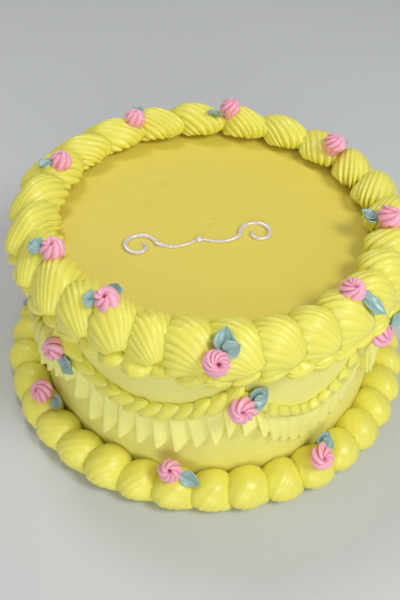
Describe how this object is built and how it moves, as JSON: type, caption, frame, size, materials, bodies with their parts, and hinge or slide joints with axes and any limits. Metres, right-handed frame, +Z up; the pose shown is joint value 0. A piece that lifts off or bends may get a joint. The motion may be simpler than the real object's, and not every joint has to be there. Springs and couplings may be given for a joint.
{
  "type": "cake",
  "caption": "Round yellow iced cake with piped shell borders, draped swags and small pink iced roses with green leaves.",
  "frame": {"origin": "centre of the cake's flat base, on the surface it stands on", "axes": "+Z up through the cake's middle, -Y towards the front of the decoration, +X to its right"},
  "size_m": [0.2489, 0.2482, 0.127],
  "materials": {
    "golden_icing": "smooth satin icing",
    "yellow_icing": "piped satin icing",
    "pale_icing": "piped satin icing",
    "pink_icing": "piped satin icing",
    "green_icing": "slightly glossy icing",
    "silver_icing": "pearly icing"
  },
  "bodies": {
    "root": {"cake_body": "golden_icing", "swag_ruffle": "pale_icing", "flourish": "silver_icing", "top_border": "yellow_icing", "bead_row": "yellow_icing", "swag_shells": "yellow_icing", "foot_border": "yellow_icing", "top_rose_1": "pink_icing", "top_rose_2": "pink_icing", "top_rose_3": "pink_icing", "top_rose_4": "pink_icing", "top_rose_5": "pink_icing", "top_rose_6": "pink_icing", "top_rose_7": "pink_icing", "top_rose_8": "pink_icing", "top_rose_9": "pink_icing", "top_leaf_1": "green_icing", "top_leaf_2": "green_icing", "top_leaf_3": "green_icing", "top_leaf_4": "green_icing", "top_leaf_5": "green_icing", "top_leaf_6": "green_icing", "top_leaf_7": "green_icing", "top_leaf_8": "green_icing", "top_leaf_9": "green_icing", "swag_rose_1": "pink_icing", "swag_rose_2": "pink_icing", "swag_rose_3": "pink_icing", "swag_rose_4": "pink_icing", "swag_rose_5": "pink_icing", "swag_rose_6": "pink_icing", "swag_rose_7": "pink_icing", "swag_leaf_1": "green_icing", "swag_leaf_2": "green_icing", "swag_leaf_3": "green_icing", "swag_leaf_4": "green_icing", "swag_leaf_5": "green_icing", "swag_leaf_6": "green_icing", "swag_leaf_7": "green_icing", "foot_rose_1": "pink_icing", "foot_rose_2": "pink_icing", "foot_rose_3": "pink_icing", "foot_rose_4": "pink_icing", "foot_rose_5": "pink_icing", "foot_rose_6": "pink_icing", "foot_rose_7": "pink_icing", "foot_rose_8": "pink_icing", "foot_leaf_1": "green_icing", "foot_leaf_2": "green_icing", "foot_leaf_3": "green_icing", "foot_leaf_4": "green_icing", "foot_leaf_5": "green_icing", "foot_leaf_6": "green_icing", "foot_leaf_7": "green_icing", "foot_leaf_8": "green_icing", "top_leaf_9b": "green_icing"}
  },
  "joints": []
}
